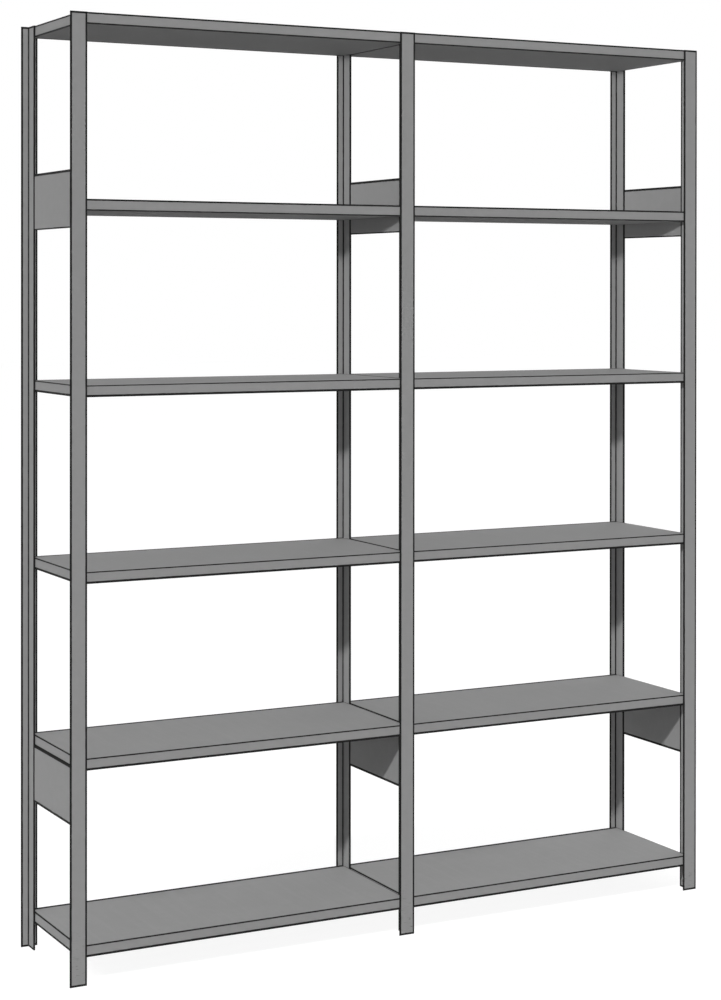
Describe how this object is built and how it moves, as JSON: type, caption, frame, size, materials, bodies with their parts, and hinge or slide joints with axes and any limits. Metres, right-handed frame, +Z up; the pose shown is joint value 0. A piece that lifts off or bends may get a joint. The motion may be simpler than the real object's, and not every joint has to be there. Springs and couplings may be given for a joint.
{
  "type": "double sided library shelving",
  "caption": "Free-standing steel library shelving, a row of bays open on both long sides, with T-section posts, tie plates and box shelves that lift off hidden clips.",
  "frame": {"origin": "on the floor, under the middle of the row", "axes": "+X along the row, +Y from the front face to the rear face, +Z up"},
  "size_m": [1.8912, 0.372, 2.4],
  "materials": {
    "frame_paint": "satin grey powder coat",
    "shelf_paint": "satin grey powder coat",
    "clip_zinc": "bright zinc plate"
  },
  "bodies": {
    "frames": {"left_front_post_flange": "frame_paint", "left_front_post_web": "frame_paint", "left_rear_post_flange": "frame_paint", "left_rear_post_web": "frame_paint", "left_lower_tie_plate": "frame_paint", "left_upper_tie_plate": "frame_paint", "left_frame_rivets": "frame_paint", "middle_front_post_flange": "frame_paint", "middle_front_post_web": "frame_paint", "middle_rear_post_flange": "frame_paint", "middle_rear_post_web": "frame_paint", "middle_lower_tie_plate": "frame_paint", "middle_upper_tie_plate": "frame_paint", "middle_frame_rivets": "frame_paint", "right_front_post_flange": "frame_paint", "right_front_post_web": "frame_paint", "right_rear_post_flange": "frame_paint", "right_rear_post_web": "frame_paint", "right_lower_tie_plate": "frame_paint", "right_upper_tie_plate": "frame_paint", "right_frame_rivets": "frame_paint", "left_shelf_1_clips": "clip_zinc", "left_shelf_2_clips": "clip_zinc", "left_shelf_3_clips": "clip_zinc", "left_shelf_4_clips": "clip_zinc", "left_shelf_5_clips": "clip_zinc", "left_shelf_6_clips": "clip_zinc", "right_shelf_1_clips": "clip_zinc", "right_shelf_2_clips": "clip_zinc", "right_shelf_3_clips": "clip_zinc", "right_shelf_4_clips": "clip_zinc", "right_shelf_5_clips": "clip_zinc", "right_shelf_6_clips": "clip_zinc"},
    "left_shelf_1": {"left_shelf_1_pan": "shelf_paint", "left_shelf_1_base": "shelf_paint"},
    "left_shelf_2": {"left_shelf_2_pan": "shelf_paint", "left_shelf_2_base": "shelf_paint"},
    "left_shelf_3": {"left_shelf_3_pan": "shelf_paint", "left_shelf_3_base": "shelf_paint"},
    "left_shelf_4": {"left_shelf_4_pan": "shelf_paint", "left_shelf_4_base": "shelf_paint"},
    "left_shelf_5": {"left_shelf_5_pan": "shelf_paint", "left_shelf_5_base": "shelf_paint"},
    "left_shelf_6": {"left_shelf_6_pan": "shelf_paint", "left_shelf_6_base": "shelf_paint"},
    "right_shelf_1": {"right_shelf_1_pan": "shelf_paint", "right_shelf_1_base": "shelf_paint"},
    "right_shelf_2": {"right_shelf_2_pan": "shelf_paint", "right_shelf_2_base": "shelf_paint"},
    "right_shelf_3": {"right_shelf_3_pan": "shelf_paint", "right_shelf_3_base": "shelf_paint"},
    "right_shelf_4": {"right_shelf_4_pan": "shelf_paint", "right_shelf_4_base": "shelf_paint"},
    "right_shelf_5": {"right_shelf_5_pan": "shelf_paint", "right_shelf_5_base": "shelf_paint"},
    "right_shelf_6": {"right_shelf_6_pan": "shelf_paint", "right_shelf_6_base": "shelf_paint"}
  },
  "joints": [
    {"name": "left_shelf_1_lift", "type": "slide", "parent": "frames", "child": "left_shelf_1", "axis": [0, 0, 1], "range_m": [0, 0.425]},
    {"name": "left_shelf_2_lift", "type": "slide", "parent": "frames", "child": "left_shelf_2", "axis": [0, 0, 1], "range_m": [0, 0.425]},
    {"name": "left_shelf_3_lift", "type": "slide", "parent": "frames", "child": "left_shelf_3", "axis": [0, 0, 1], "range_m": [0, 0.425]},
    {"name": "left_shelf_4_lift", "type": "slide", "parent": "frames", "child": "left_shelf_4", "axis": [0, 0, 1], "range_m": [0, 0.425]},
    {"name": "left_shelf_5_lift", "type": "slide", "parent": "frames", "child": "left_shelf_5", "axis": [0, 0, 1], "range_m": [0, 0.425]},
    {"name": "left_shelf_6_lift", "type": "slide", "parent": "frames", "child": "left_shelf_6", "axis": [0, 0, 1], "range_m": [0, 0.06]},
    {"name": "right_shelf_1_lift", "type": "slide", "parent": "frames", "child": "right_shelf_1", "axis": [0, 0, 1], "range_m": [0, 0.425]},
    {"name": "right_shelf_2_lift", "type": "slide", "parent": "frames", "child": "right_shelf_2", "axis": [0, 0, 1], "range_m": [0, 0.425]},
    {"name": "right_shelf_3_lift", "type": "slide", "parent": "frames", "child": "right_shelf_3", "axis": [0, 0, 1], "range_m": [0, 0.425]},
    {"name": "right_shelf_4_lift", "type": "slide", "parent": "frames", "child": "right_shelf_4", "axis": [0, 0, 1], "range_m": [0, 0.425]},
    {"name": "right_shelf_5_lift", "type": "slide", "parent": "frames", "child": "right_shelf_5", "axis": [0, 0, 1], "range_m": [0, 0.425]},
    {"name": "right_shelf_6_lift", "type": "slide", "parent": "frames", "child": "right_shelf_6", "axis": [0, 0, 1], "range_m": [0, 0.06]}
  ]
}
